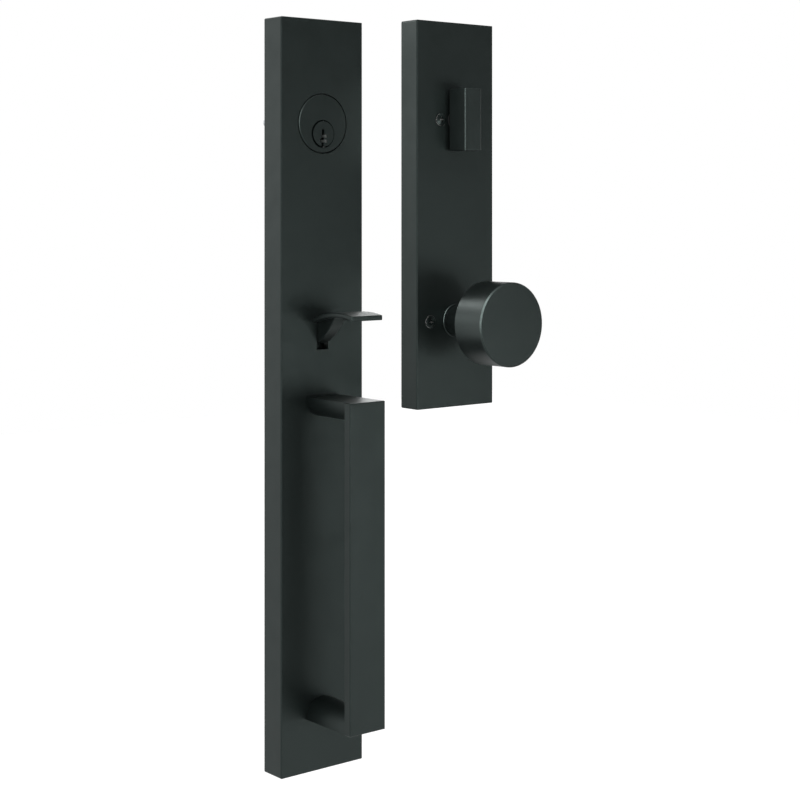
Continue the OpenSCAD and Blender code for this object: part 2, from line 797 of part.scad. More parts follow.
module interior_plate() {
    turn_rib = centres - adapter_rib;
    top_rib = (int_top + centres + adapter_high) / 2;
    color(satin_black) translate(int_place) difference() {
        union() {
            hollow_plate(int_bottom, int_top, int_front, int_back);
            cross_ribs([-adapter_rib, adapter_rib, centres / 2, turn_rib, top_rib], int_back);
            long_ribs(adapter_rib, turn_rib, int_back);
            translate([0, 0, centres]) both_x(turn_screw_x) rod_y(face_boss_r, int_back - over, face_boss_y);
            both_x(knob_screw_x) rod_y(face_boss_r, int_back - over, face_boss_y);
        }
        translate([0, 0, centres]) {
            rod_y(bush_r + fit_gap, int_front - over, int_back + over);
            both_x(turn_screw_x) rod_y(face_screw_r + fit_gap, int_front - over, face_boss_y + over);
        }
        rod_y(collar_r + fit_gap, int_front - over, int_back + over);
        both_x(knob_screw_x) rod_y(face_screw_r + fit_gap, int_front - over, face_boss_y + over);
    }
}

module turnpiece() {
    front = int_front - turn_gap - turn_t;
    back = int_front - turn_gap;
    color(satin_black) translate(int_place) translate([0, 0, centres]) difference() {
        union() {
            slab(turn_w / 2, -turn_h / 2, turn_h / 2, front, back, turn_edge, turn_edge);
            rod_y(stem_r, back - over, stem_end);
        }
        translate([0, turn_pin_y, 0]) rod_x(turn_pin_r + snug, -stem_r - over, stem_r + over);
    }
}

module turn_bushing() {
    color(nylon) translate(int_place) translate([0, 0, centres]) difference() {
        union() {
            rod_y(bush_flange_r, int_front - bush_flange_t, int_front);
            rod_y(bush_r, int_front - bush_flange_t / 2, int_back);
        }
        rod_y(stem_r + run_gap, int_front - turn_gap - over, int_back + over);
    }
}

module turn_washer() {
    color(raw_steel) translate(int_place) translate([0, 0, centres]) difference() {
        rod_y(hub_r, int_back, int_back + washer_t);
        rod_y(stem_r + washer_gap, int_back - over, int_back + washer_t + over);
    }
}

module turn_hub() {
    slot_x = tail_t / 2 + hub_play;
    slot_z = tail_w / 2 + hub_play;
    color(zinc) translate(int_place) translate([0, 0, centres]) difference() {
        rod_y(hub_r, hub_front, hub_end);
        rod_y(stem_r + snug, hub_front - over, stem_end);
        block([-slot_x, stem_end - over, -slot_z], [slot_x, hub_end + over, slot_z]);
        block([-slot_z, stem_end - over, -slot_x], [slot_z, hub_end + over, slot_x]);
        translate([0, turn_pin_y, 0]) rod_x(turn_pin_r + snug, -hub_r - over, hub_r + over);
    }
}

module turn_pin() {
    color(raw_steel) translate(int_place) translate([0, turn_pin_y, centres])
        rod_x(turn_pin_r, turn_pin_in - hub_r, hub_r - turn_pin_in);
}

module turn_mounting_plate() {
    color(raw_steel) translate(int_place) translate([0, 0, centres]) difference() {
        along_y(-adapter_t, 0) difference() {
            soft_rect([-adapter_half, -adapter_high], [adapter_half, adapter_high], adapter_corner);
            circle(hub_r + face_clear);
            for (s = [-1, 1]) {
                translate([s * turn_screw_x, 0]) circle(face_screw_r + fit_gap);
                translate([s * cyl_sleeve_x, plug_offset + cyl_sleeve_up]) circle(bolt_hole_r);
                for (t = [-1, 1])
                    translate([s * (adapter_half - adapter_hole_in), t * (adapter_high - adapter_hole_in)])
                        circle(adapter_hole_r);
            }
        }
    }
}

module turn_plate_screws() {
    color(satin_black) translate(int_place) translate([0, int_front, centres]) both_x(turn_screw_x)
        face_screw(face_screw_r, face_head_r, face_head_t, int_t - face_screw_end);
}

module knob() {
    r = knob_d / 2;
    hole = spindle_side / 2 + fit_gap;
    color(satin_black) translate(int_place) difference() {
        turned() polygon([[0, -journal_end], [journal_r, -journal_end], [journal_r, -neck_end],
            [neck_r, -neck_end], [neck_r, -knob_back], [r - knob_rim, -knob_back], [r, knob_rim - knob_back],
            [r, -knob_front - knob_chamfer], [r - knob_chamfer, -knob_front], [0, -knob_front]]);
        difference() {
            rod_y(journal_r + over, clip_front - fit_gap / 2, clip_front + clip_t + fit_gap / 2);
            rod_y(clip_groove_r, clip_front - over, clip_front + clip_t + over);
        }
        both_x(cam_flat + over)
            block([-over, clip_front + clip_t + fit_gap / 2, -journal_r],
                [over, journal_end + over, journal_r]);
        block([-hole, spindle_in - fit_gap, -hole], [hole, journal_end + over, hole]);
        translate([0, set_screw_y, -neck_r - over]) cylinder(r = set_screw_r + fit_gap, h = neck_r);
    }
}

module knob_collar() {
    color(satin_black) translate(int_place) difference() {
        turned() polygon([[0, -collar_end], [collar_r, -collar_end], [collar_r, -int_front],
            [collar_flange_r, -int_front], [collar_flange_r, collar_flange_t - collar_chamfer - int_front],
            [collar_flange_r - collar_chamfer, collar_flange_t - int_front],
            [0, collar_flange_t - int_front]]);
        rod_y(journal_r + run_gap, int_front - knob_gap - over, collar_end + over);
    }
}

module knob_clip() {
    color(raw_steel) translate(int_place) along_y(clip_front, clip_front + clip_t) difference() {
        circle(clip_r);
        circle(clip_groove_r + snug);
        translate([-clip_mouth, -clip_r - over]) square([2 * clip_mouth, clip_r]);
    }
}

module knob_cam() {
    bore = journal_r + fit_gap / 2;
    flat = cam_flat + fit_gap / 2;
    color(zinc) translate(int_place) {
        along_y(cam_front, cam_back) difference() {
            circle(cam_r);
            intersection() {
                circle(bore);
                square([2 * flat, 2 * bore], center = true);
            }
        }
        block([-tab_half, cam_back - over, cam_tab_in], [tab_half, cage_floor - face_clear, cam_r - fit_gap]);
    }
}

module knob_return_spring() {
    lean = asin(knob_leg_x / knob_coil_r);
    turn_in = lean + asin(knob_bend / knob_coil_r);
    corner = knob_coil_r * cos(lean);
    sweep = 360 * knob_turns - 2 * turn_in;
    steps = ceil(sweep / coil_step);
    coil = [for (i = [0:steps]) let (a = up + turn_in + sweep * i / steps, deep = i / steps)
        [knob_coil_r * cos(a), knob_coil_front + (knob_coil_back - knob_coil_front) * deep,
            knob_coil_r * sin(a)]];
    first = bent([-knob_leg_x, knob_coil_front, corner + knob_bend],
        [-knob_leg_x, knob_coil_front, corner], coil[0]);
    last = bent(coil[steps], [knob_leg_x, knob_coil_back, corner],
        [knob_leg_x, knob_coil_back, corner + knob_bend]);
    path = concat([[-knob_leg_x, knob_coil_front, knob_leg_z]], first, coil, last,
        [[knob_leg_x, knob_coil_back, knob_leg_z]]);
    color(raw_steel) translate(int_place) wire(path, knob_wire_r, [0, 1, 0]);
}

module spring_cage() {
    color(raw_steel) translate(int_place) difference() {
        union() {
            turned() polygon([[cage_bore_r, adapter_t], [cage_r, adapter_t], [cage_r, -cage_front],
                [cage_r - cage_wall, -cage_front], [cage_r - cage_wall, -cage_floor],
                [cage_bore_r, -cage_floor]]);
            block([-tab_half, knob_coil_front - knob_wire_r, cage_tab_in],
                [tab_half, cage_floor + face_clear, cage_r - cage_wall / 2]);
        }
        for (a = rivet_angles) rotate([0, -a, 0]) translate([rivet_at, 0, 0])
            rod_y(rivet_r + snug, cage_floor - over, 0);
    }
}

module cage_rivets() {
    color(zinc) translate(int_place) for (a = rivet_angles) rotate([0, -a, 0]) translate([rivet_at, 0, 0]) {
        rod_y(rivet_head_r, cage_floor - rivet_head_t, cage_floor);
        rod_y(rivet_r, cage_floor - rivet_head_t / 2, -fit_gap);
    }
}

module knob_spindle() {
    half = spindle_side / 2;
    color(zinc) translate(int_place) block([-half, spindle_in, -half], [half, spindle_reach, half]);
}

module knob_set_screw() {
    color(raw_steel) translate(int_place) translate([0, set_screw_y, set_screw_low]) difference() {
        cylinder(r = set_screw_r, h = -spindle_side / 2 - set_screw_low);
        translate([0, 0, -over]) cylinder(r = hex_r, h = over + hex_t, $fn = 6);
    }
}

module knob_mounting_plate() {
    color(raw_steel) translate(int_place) difference() {
        along_y(-adapter_t, 0) difference() {
            soft_rect([-adapter_half, -adapter_high], [adapter_half, adapter_high], adapter_corner);
            circle(cage_bore_r);
            for (s = [-1, 1]) {
                translate([s * knob_screw_x, 0]) circle(face_screw_r + fit_gap);
                translate([0, s * latch_sleeve_z]) circle(bolt_hole_r);
            }
        }
        for (a = rivet_angles) rotate([0, -a, 0]) translate([rivet_at, 0, 0])
            rod_y(rivet_r + snug, -adapter_t - over, over);
    }
}

module knob_plate_screws() {
    color(satin_black) translate(int_place) translate([0, int_front, 0]) both_x(knob_screw_x)
        face_screw(face_screw_r, face_head_r, face_head_t, int_t - face_screw_end);
}

exterior_plate();
cylinder_housing();
cylinder_nut();
cylinder_sleeves();
key_plug();
plug_retainer();
tailpiece();
pull_grip();
pull_screws();
thumbpiece();
thumb_bracket();
thumb_pivot_pin();
thumb_spring();
thumb_bracket_screws();
latch_sleeves();
lower_sleeve();
interior_plate();
turnpiece();
turn_bushing();
turn_washer();
turn_hub();
turn_pin();
turn_mounting_plate();
turn_plate_screws();
knob();
knob_collar();
knob_clip();
knob_cam();
knob_return_spring();
spring_cage();
cage_rivets();
knob_spindle();
knob_set_screw();
knob_mounting_plate();
knob_plate_screws();
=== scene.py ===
import json
import math

import bmesh
import bpy
from mathutils import Matrix, Vector


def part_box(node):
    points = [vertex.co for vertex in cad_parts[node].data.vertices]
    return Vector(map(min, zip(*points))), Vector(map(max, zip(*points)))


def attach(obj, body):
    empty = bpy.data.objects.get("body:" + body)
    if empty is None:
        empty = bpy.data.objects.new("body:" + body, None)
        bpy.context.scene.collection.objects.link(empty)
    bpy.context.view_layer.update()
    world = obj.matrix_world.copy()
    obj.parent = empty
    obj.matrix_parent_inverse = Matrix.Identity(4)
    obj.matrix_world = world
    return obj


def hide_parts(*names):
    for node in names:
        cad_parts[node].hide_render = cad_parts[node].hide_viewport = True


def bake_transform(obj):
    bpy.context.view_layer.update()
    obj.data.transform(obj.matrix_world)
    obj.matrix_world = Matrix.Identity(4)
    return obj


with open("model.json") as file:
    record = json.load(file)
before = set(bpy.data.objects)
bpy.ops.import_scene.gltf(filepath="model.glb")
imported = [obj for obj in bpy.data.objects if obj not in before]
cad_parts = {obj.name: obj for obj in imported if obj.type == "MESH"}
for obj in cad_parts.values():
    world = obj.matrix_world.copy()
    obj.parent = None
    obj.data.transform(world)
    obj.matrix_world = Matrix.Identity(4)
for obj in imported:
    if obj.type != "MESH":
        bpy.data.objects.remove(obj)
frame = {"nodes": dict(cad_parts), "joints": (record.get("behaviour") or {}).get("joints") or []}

bl_info = {
    "name": "Entry door handleset",
    "version": (1, 0, 0),
    "blender": (4, 5, 0),
    "location": "3D View > Sidebar > Handleset",
    "description": "Finishes, springs and studio of an entry door handleset",
    "category": "Object",
}

MM = 0.001
NODES = frame["nodes"]

# Groups of CAD nodes that share a finish
CASTINGS = ("exterior_plate", "interior_plate", "turnpiece", "thumb_bracket")
FACE_SCREWS = ("turn_plate_screws", "knob_plate_screws")
SHEET_STEEL = ("turn_mounting_plate", "knob_mounting_plate", "spring_cage", "turn_washer",
               "knob_clip", "turn_pin", "knob_set_screw")
ZINC_PLATED = ("cylinder_sleeves", "latch_sleeves", "lower_sleeve", "plug_retainer", "tailpiece",
               "pull_screws", "thumb_pivot_pin", "thumb_bracket_screws", "turn_hub", "knob_cam",
               "cage_rivets", "knob_spindle")

# Pieces whose edges catch lamps of their own
PROUD = ("cylinder_housing", "thumbpiece", "knob", "knob_collar", "turnpiece")


def half_width(node):
    """Half of a CAD node's width"""
    low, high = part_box(node)
    return (high.x - low.x) / 2


# Places taken from the frame, in metres
AXES = {joint["name"]: Vector(joint["pos_m"]) for joint in frame["joints"]}
PLUG_AXIS = AXES["plug_turn"]
THUMB_AXIS = AXES["thumb_press"]
KNOB_AXIS = AXES["knob_turn"]
PLUG_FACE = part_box("key_plug")[0].y
PLUG_RADIUS = half_width("key_plug")
CYLINDER_AXIS = sum(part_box("cylinder_housing"), Vector()) / 2
CYLINDER_RADIUS = half_width("cylinder_housing")

# Details of the finishes, in metres
GAP_SHADE_WIDTH = 0.9 * MM            # width of the painted shade line along a round gap
PLUG_CLEARANCE = 0.1 * MM      # from the plug to the middle of the painted shade line in its housing
THUMB_ROUNDING = 1.2 * MM      # how softly the thumbpiece's edges shade
WARD_DEPTH = 0.4 * MM          # from the plug's face to its bare wards
WARD_SIDE = 0.9 * MM           # from the plug's axis to its bare wards
PAINTED_DEPTH = 12 * MM        # how far in the plug is black
RECESS_DEPTH = 0.9 * MM        # from a screw's head to the worn part of its recess
PAINT_RELIEF = 6e-6            # height of the black finish's grain
LATHE_RELIEF = 0.8e-6          # height of the turning marks
METAL_RELIEF = 4e-6            # height of the drawn grain on metal
WORN_RELIEF = 8e-6             # height of the scratches where the finish is worn off
NYLON_RELIEF = 5e-6            # height of the grain on nylon

# Sizes of the noise patterns: in metres, or in grains of the black finish
STAIN_SIZE = 0.012
METAL_GRAIN = 0.0006
WORN_GRAIN = 0.0005
WORN_PATCH = 0.0011
NYLON_CLOUD = 0.004
NYLON_GRAIN = 0.0005
PATCH_GRAINS = 60
CLOUD_GRAINS = 24

NOISE_LOW, NOISE_HIGH = 0.3, 0.7   # nearly all of Blender's noise lies between these
FULL_GLOSS = 0.5                   # the shader's usual specular level
BEVEL_SAMPLES = 6
FLOOR_TONE = 0.8
FLOOR_ROUGHNESS = 0.9
FLOOR_SEEN = 0.45                  # what the camera adds to the floor, to see it as white
FLOOR_MIRRORED = 0.15              # what gloss adds to the floor
CARD_GAP = 0.02                    # from a lamp to the black card behind it
SENSOR_WIDTH = 36                  # millimetres
SORTING_LINE = Vector((1, 0.618, 0.382))   # in no plane of symmetry of the springs


class HandlesetFinish(bpy.types.PropertyGroup):
    """Colours and roughness of the finishes"""

    paint: bpy.props.FloatVectorProperty(
        name="Satin black", description="Colour of the black finish",
        default=(0.0044, 0.0064, 0.0062), size=3, subtype="COLOR", min=0.0, max=1.0)
    paint_gloss: bpy.props.FloatVectorProperty(
        name="Satin gloss", description="Tint of the black finish's gloss",
        default=(0.80, 1.0, 0.955), size=3, subtype="COLOR", min=0.0, max=1.0)
    paint_roughness: bpy.props.FloatProperty(
        name="Satin roughness", description="Roughness of the cast faces", default=0.45,
        min=0.1, max=0.8)
    grip_roughness: bpy.props.FloatProperty(
        name="Grip roughness", description="Roughness of the grip and the thumbpiece", default=0.43,
        min=0.1, max=0.8)
    turned_roughness: bpy.props.FloatProperty(
        name="Turned roughness", description="Roughness of the turned faces", default=0.38,
        min=0.1, max=0.8)
    grain: bpy.props.FloatProperty(
        name="Grain size", description="Size of the finish's fine grain", default=0.0007,
        min=0.0002, max=0.004, unit="LENGTH")
    lathe_pitch: bpy.props.FloatProperty(
        name="Lathe pitch", description="Distance between the turning marks", default=0.0003,
        min=0.0001, max=0.002, unit="LENGTH")
    steel: bpy.props.FloatVectorProperty(
        name="Steel", description="Colour of the bare steel",
        default=(0.50, 0.50, 0.49), size=3, subtype="COLOR", min=0.0, max=1.0)
    zinc: bpy.props.FloatVectorProperty(
        name="Zinc plating", description="Colour of the plated fasteners",
        default=(0.63, 0.65, 0.68), size=3, subtype="COLOR", min=0.0, max=1.0)
    brass: bpy.props.FloatVectorProperty(
        name="Brass", description="Colour of the ring nut",
        default=(0.62, 0.44, 0.18), size=3, subtype="COLOR", min=0.0, max=1.0)
    nickel: bpy.props.FloatVectorProperty(
        name="Nickel silver", description="Colour of the bare metal inside the plug",
        default=(0.70, 0.73, 0.72), size=3, subtype="COLOR", min=0.0, max=1.0)
    nylon: bpy.props.FloatVectorProperty(
        name="Nylon", description="Colour of the bush",
        default=(0.030, 0.031, 0.032), size=3, subtype="COLOR", min=0.0, max=1.0)


class HandlesetSprings(bpy.types.PropertyGroup):
    """Sizes of the springs"""

    thumb_wire: bpy.props.FloatProperty(
        name="Thumb wire", description="Diameter of the thumb spring's wire", default=1.0 * MM,
        min=0.4 * MM, max=2 * MM, unit="LENGTH")
    thumb_coil: bpy.props.FloatProperty(
        name="Thumb coil", description="Radius of the thumb spring's coils", default=3.12 * MM,
        min=2.5 * MM, max=4 * MM, unit="LENGTH")
    thumb_turns: bpy.props.IntProperty(
        name="Thumb turns", description="Turns on each side of the thumb spring", default=3,
        min=1, max=6)
    thumb_bridge: bpy.props.FloatProperty(
        name="Thumb bridge", description="From the pivot's axis back to the wire across the tail",
        default=7.5 * MM, min=5 * MM, max=12 * MM, unit="LENGTH")
    thumb_inner: bpy.props.FloatProperty(
        name="Inner coil", description="From the middle to the first coil", default=5.4 * MM,
        min=5 * MM, max=6 * MM, unit="LENGTH")
    knob_wire: bpy.props.FloatProperty(
        name="Knob wire", description="Diameter of the knob spring's wire", default=1.4 * MM,
        min=0.4 * MM, max=2 * MM, unit="LENGTH")
    knob_coil: bpy.props.FloatProperty(
        name="Knob coil", description="Radius of the knob spring's coils", default=9.8 * MM,
        min=8 * MM, max=12 * MM, unit="LENGTH")
    knob_turns: bpy.props.IntProperty(
        name="Knob turns", description="Turns of the knob spring", default=2, min=1, max=4)
    knob_leg: bpy.props.FloatProperty(
        name="Knob leg", description="From the middle to each leg of the knob spring",
        default=1.8 * MM, min=1 * MM, max=3 * MM, unit="LENGTH")
    bend: bpy.props.FloatProperty(
        name="Bend", description="Radius of the wire's small bends", default=1.3 * MM,
        min=0.8 * MM, max=2 * MM, unit="LENGTH")
    sides: bpy.props.IntProperty(
        name="Wire sides", description="Faces round the wire", default=20, min=8, max=48)


class HandlesetStage(bpy.types.PropertyGroup):
    """Floor, lamps and camera"""

    floor_drop: bpy.props.FloatProperty(
        name="Floor", description="Height of the floor", default=-0.42, unit="LENGTH")
    floor_size: bpy.props.FloatProperty(
        name="Floor size", description="Length of the floor's sides", default=5.0, unit="LENGTH")
    sky: bpy.props.FloatProperty(
        name="Room light", description="Strength of the even light from all round", default=0.8,
        min=0.0)
    camera_place: bpy.props.FloatVectorProperty(
        name="Camera", description="Place of the camera",
        default=(-0.7018, -0.9691, 0.0904), size=3, subtype="TRANSLATION", unit="LENGTH")
    camera_turn: bpy.props.FloatProperty(
        name="Camera turn", description="How far the camera looks to the right of straight on",
        default=math.radians(39.09), subtype="ANGLE")
    camera_lens: bpy.props.FloatProperty(
        name="Lens", description="Focal length on a 36 mm sensor, in millimetres", default=76.5)
    camera_shift: bpy.props.FloatProperty(
        name="Rise", description="Vertical shift of the lens, as a share of the frame",
        default=-0.24375)


def add_node(tree, kind, **values):
    """Adds a node and sets its properties and its unlinked inputs"""
    node = tree.nodes.new(kind)
    for key, value in values.items():
        if hasattr(node, key):
            setattr(node, key, value)
        else:
            node.inputs[key].default_value = value
    return node


def start_material(name):
    """A new material with its shader, and Object coordinates to draw patterns on"""
    material = bpy.data.materials.new(name)
    material.use_nodes = True
    tree = material.node_tree
    shader = tree.nodes["Principled BSDF"]
    place = add_node(tree, "ShaderNodeTexCoord")
    return material, tree, shader, place.outputs["Object"]


def noise(tree, place, size, detail=2.0, stretch=(1, 1, 1)):
    """Noise with features of about the given size in metres"""
    mapping = add_node(tree, "ShaderNodeMapping")
    mapping.inputs["Scale"].default_value = [k / size for k in stretch]
    texture = add_node(tree, "ShaderNodeTexNoise")
    texture.inputs["Scale"].default_value = 1.0
    texture.inputs["Detail"].default_value = detail
    tree.links.new(place, mapping.inputs["Vector"])
    tree.links.new(mapping.outputs["Vector"], texture.inputs["Vector"])
    return texture.outputs["Fac"]


def spread(tree, value, low, high):
    """Maps noise to a range around its middle"""
    ramp = add_node(tree, "ShaderNodeMapRange")
    ramp.inputs["From Min"].default_value = NOISE_LOW
    ramp.inputs["From Max"].default_value = NOISE_HIGH
    ramp.inputs["To Min"].default_value = low
    ramp.inputs["To Max"].default_value = high
    tree.links.new(value, ramp.inputs["Value"])
    return ramp.outputs["Result"]


def tint(tree, factor, first, second):
    """A mix of two colours"""
    mix = add_node(tree, "ShaderNodeMix", data_type="RGBA")
    tree.links.new(factor, mix.inputs["Factor"])
    mix.inputs[6].default_value = (*first, 1)
    mix.inputs[7].default_value = (*second, 1)
    return mix.outputs[2]


def bump(tree, height, depth, strength=1.0, under=None):
    """Relief of the given depth in metres"""
    node = add_node(tree, "ShaderNodeBump")
    node.inputs["Distance"].default_value = depth
    node.inputs["Strength"].default_value = strength
    tree.links.new(height, node.inputs["Height"])
    if under is not None:
        tree.links.new(under, node.inputs["Normal"])
    return node.outputs["Normal"]


def lighter(colour, share):
    """The colour, brighter by a share"""
    return tuple(min(1.0, c * (1 + share)) for c in colour)


def radius_about(tree, place, centre):
    """Distance from an axis along Y, and the place measured from its centre"""
    moved = add_node(tree, "ShaderNodeVectorMath", operation="SUBTRACT")
    moved.inputs[1].default_value = centre
    flat = add_node(tree, "ShaderNodeVectorMath", operation="MULTIPLY")
    flat.inputs[1].default_value = (1, 0, 1)
    radius = add_node(tree, "ShaderNodeVectorMath", operation="LENGTH")
    tree.links.new(place, moved.inputs[0])
    tree.links.new(moved.outputs["Vector"], flat.inputs[0])
    tree.links.new(flat.outputs["Vector"], radius.inputs[0])
    return radius.outputs["Value"], moved.outputs["Vector"]


def painted_gap_shade(tree, place, shader, centre, radius, width):
    """Painted shade: a dark line along a round gap, where the gloss is turned off"""
    reach, _ = radius_about(tree, place, centre)
    off = add_node(tree, "ShaderNodeMath", operation="COMPARE")
    off.inputs[1].default_value = radius
    off.inputs[2].default_value = width / 2
    gloss = add_node(tree, "ShaderNodeMath", operation="MULTIPLY_ADD")
    gloss.inputs[1].default_value = -FULL_GLOSS
    gloss.inputs[2].default_value = FULL_GLOSS
    tree.links.new(reach, off.inputs[0])
    tree.links.new(off.outputs["Value"], gloss.inputs[0])
    tree.links.new(gloss.outputs["Value"], shader.inputs["Specular IOR Level"])


def black_finish(name, finish, roughness, turned_about=None, rounding=0.0, gap=None):
    """Satin black over metal: even, with a fine grain and faint patches of tone and gloss"""
    material, tree, shader, place = start_material(name)
    grain = noise(tree, place, finish.grain, detail=3.0)
    patch = noise(tree, place, PATCH_GRAINS * finish.grain, detail=4.0)
    colour = tint(tree, spread(tree, patch, 0, 1), finish.paint, lighter(finish.paint, 0.22))
    tree.links.new(colour, shader.inputs["Base Color"])
    cloud = noise(tree, place, CLOUD_GRAINS * finish.grain, detail=5.0)
    rough = spread(tree, cloud, roughness - 0.03, roughness + 0.04)
    tree.links.new(rough, shader.inputs["Roughness"])
    soft = None
    if rounding:
        bevel = add_node(tree, "ShaderNodeBevel", samples=BEVEL_SAMPLES, Radius=rounding)
        soft = bevel.outputs["Normal"]
    normal = bump(tree, grain, PAINT_RELIEF, under=soft)
    # painted shade along a round gap: no gloss on a thin ring
    if gap:
        painted_gap_shade(tree, place, shader, *gap)
    if turned_about is not None:
        normal = turning_marks(tree, place, turned_about, finish.lathe_pitch, normal)
    tree.links.new(normal, shader.inputs["Normal"])
    shader.inputs["IOR"].default_value = 1.5
    shader.inputs["Specular Tint"].default_value = (*finish.paint_gloss, 1)
    return material


def turning_marks(tree, place, centre, pitch, under):
    """Fine rings about an axis along Y, on the faces and on the rims"""
    radius, moved = radius_about(tree, place, centre)
    split = add_node(tree, "ShaderNodeSeparateXYZ")
    tree.links.new(moved, split.inputs["Vector"])
    along = combine(tree, "ADD", radius, split.outputs["Y"])
    phase = add_node(tree, "ShaderNodeMath", operation="MULTIPLY")
    phase.inputs[1].default_value = 2 * math.pi / pitch
    rings = add_node(tree, "ShaderNodeMath", operation="SINE")
    tree.links.new(along, phase.inputs[0])
    tree.links.new(phase.outputs["Value"], rings.inputs[0])
    return bump(tree, rings.outputs["Value"], LATHE_RELIEF, under=under)


def bare_metal(name, colour, roughness, stretch=(1, 1, 1)):
    """Bare or plated metal with drawn grain and faint stains"""
    material, tree, shader, place = start_material(name)
    stain = noise(tree, place, STAIN_SIZE, detail=5.0)
    tone = tint(tree, spread(tree, stain, 0, 1), lighter(colour, -0.12), colour)
    tree.links.new(tone, shader.inputs["Base Color"])
    grain = noise(tree, place, METAL_GRAIN, detail=3.0, stretch=stretch)
    rough = spread(tree, grain, roughness - 0.06, roughness + 0.08)
    tree.links.new(rough, shader.inputs["Roughness"])
    tree.links.new(bump(tree, grain, METAL_RELIEF), shader.inputs["Normal"])
    shader.inputs["Metallic"].default_value = 1.0
    return material


def moulded_nylon(name, colour):
    """Black moulded plastic"""
    material, tree, shader, place = start_material(name)
    cloud = noise(tree, place, NYLON_CLOUD)
    grain = noise(tree, place, NYLON_GRAIN)
    tree.links.new(tint(tree, cloud, colour, lighter(colour, 0.3)), shader.inputs["Base Color"])
    tree.links.new(spread(tree, cloud, 0.45, 0.55), shader.inputs["Roughness"])
    tree.links.new(bump(tree, grain, NYLON_RELIEF), shader.inputs["Normal"])
    return material


def beyond(tree, value, limit):
    """One where the value is past the limit, else nought"""
    node = add_node(tree, "ShaderNodeMath", operation="GREATER_THAN")
    node.inputs[1].default_value = limit
    tree.links.new(value, node.inputs[0])
    return node.outputs["Value"]


def combine(tree, operation, first, second):
    """Two values joined by the named operation"""
    node = add_node(tree, "ShaderNodeMath", operation=operation)
    tree.links.new(first, node.inputs[0])
    tree.links.new(second, node.inputs[1])
    return node.outputs["Value"]


def wear(tree, place, bare, colour, low, high):
    """Mixes bare metal into a black finish where the given factor is one"""
    face = tree.nodes["Principled BSDF"]
    metal = add_node(tree, "ShaderNodeBsdfPrincipled")
    metal.inputs["Metallic"].default_value = 0.2
    grain = noise(tree, place, WORN_GRAIN, detail=3.0, stretch=(1, 0.1, 1))
    tree.links.new(spread(tree, grain, low, high), metal.inputs["Roughness"])
    tree.links.new(tint(tree, grain, lighter(colour, -0.3), colour), metal.inputs["Base Color"])
    tree.links.new(bump(tree, grain, WORN_RELIEF), metal.inputs["Normal"])
    mix = add_node(tree, "ShaderNodeMixShader")
    tree.links.new(bare, mix.inputs["Fac"])
    tree.links.new(face.outputs["BSDF"], mix.inputs[1])
    tree.links.new(metal.outputs["BSDF"], mix.inputs[2])
    tree.links.new(mix.outputs["Shader"], tree.nodes["Material Output"].inputs["Surface"])


def object_place(tree):
    """The material's Object coordinates, whole and split"""
    place = next(n for n in tree.nodes if n.type == "TEX_COORD").outputs["Object"]
    split = add_node(tree, "ShaderNodeSeparateXYZ")
    tree.links.new(place, split.inputs["Vector"])
    return place, split.outputs


def plug_finish(finish):
    """Black face and slot, bare metal on the wards beside the slot"""
    # the plug's rim gets a painted shade line, with no gloss, along its gap
    material = black_finish("black_plug_face", finish, finish.turned_roughness, PLUG_AXIS,
                            gap=(PLUG_AXIS, PLUG_RADIUS, GAP_SHADE_WIDTH))
    tree = material.node_tree
    place, split = object_place(tree)
    wards = combine(tree, "MULTIPLY", beyond(tree, split["Y"], PLUG_FACE + WARD_DEPTH),
                    beyond(tree, split["X"], PLUG_AXIS.x + WARD_SIDE))
    deep = beyond(tree, split["Y"], PLUG_FACE + PAINTED_DEPTH)
    bare = combine(tree, "MAXIMUM", wards, deep)
    wear(tree, place, bare, finish.nickel, 0.4, 0.55)
    return material


def screw_finish(name, finish, head):
    """Black screws whose recess is worn bright by the driver"""
    material = black_finish(name, finish, finish.turned_roughness - 0.08)
    tree = material.node_tree
    place, split = object_place(tree)
    worn = noise(tree, place, WORN_PATCH, detail=2.0)
    bare = combine(tree, "MULTIPLY", beyond(tree, split["Y"], head + RECESS_DEPTH),
                   beyond(tree, worn, 0.5))
    wear(tree, place, bare, lighter(finish.steel, -0.1), 0.25, 0.4)
    return material


def paint_node(name, material):
    """Gives a CAD node its finish"""
    obj = NODES[name]
    if obj.material_slots:
        for slot in obj.material_slots:
            slot.material = material
    else:
        obj.data.materials.append(material)


class HANDLESET_OT_castings(bpy.types.Operator):
    """Finish the cast plates, grip, turnpiece and thumbpiece, and the thumb bracket"""

    bl_idname = "handleset.castings"
    bl_label = "Finish castings"

    def execute(self, context):
        finish = context.scene.handleset_finish
        # a painted shade line, with no gloss, round the cylinder's gap in the plate
        edge = (CYLINDER_AXIS, CYLINDER_RADIUS, GAP_SHADE_WIDTH)
        cast = black_finish("satin_black_cast", finish, finish.paint_roughness, gap=edge)
        for name in CASTINGS:
            paint_node(name, cast)
        paint_node("pull_grip", black_finish("satin_black_grip", finish, finish.grip_roughness))
        thumb = black_finish("satin_black_thumb", finish, finish.grip_roughness,
                             rounding=THUMB_ROUNDING)
        paint_node("thumbpiece", thumb)
        return {"FINISHED"}


class HANDLESET_OT_turned_parts(bpy.types.Operator):
    """Finish the knob, its collar, the cylinder and its plug"""

    bl_idname = "handleset.turned_parts"
    bl_label = "Finish turned parts"

    def execute(self, context):
        finish = context.scene.handleset_finish
        rough = finish.turned_roughness
        # a painted shade line, with no gloss, round the plug's gap in the housing
        edge = (PLUG_AXIS, PLUG_RADIUS + PLUG_CLEARANCE, GAP_SHADE_WIDTH)
        cylinder = black_finish("satin_black_cylinder", finish, rough, CYLINDER_AXIS, gap=edge)
        paint_node("cylinder_housing", cylinder)
        knob = black_finish("satin_black_knob", finish, rough, KNOB_AXIS)
        paint_node("knob", knob)
        paint_node("knob_collar", knob)
        paint_node("key_plug", plug_finish(finish))
        return {"FINISHED"}


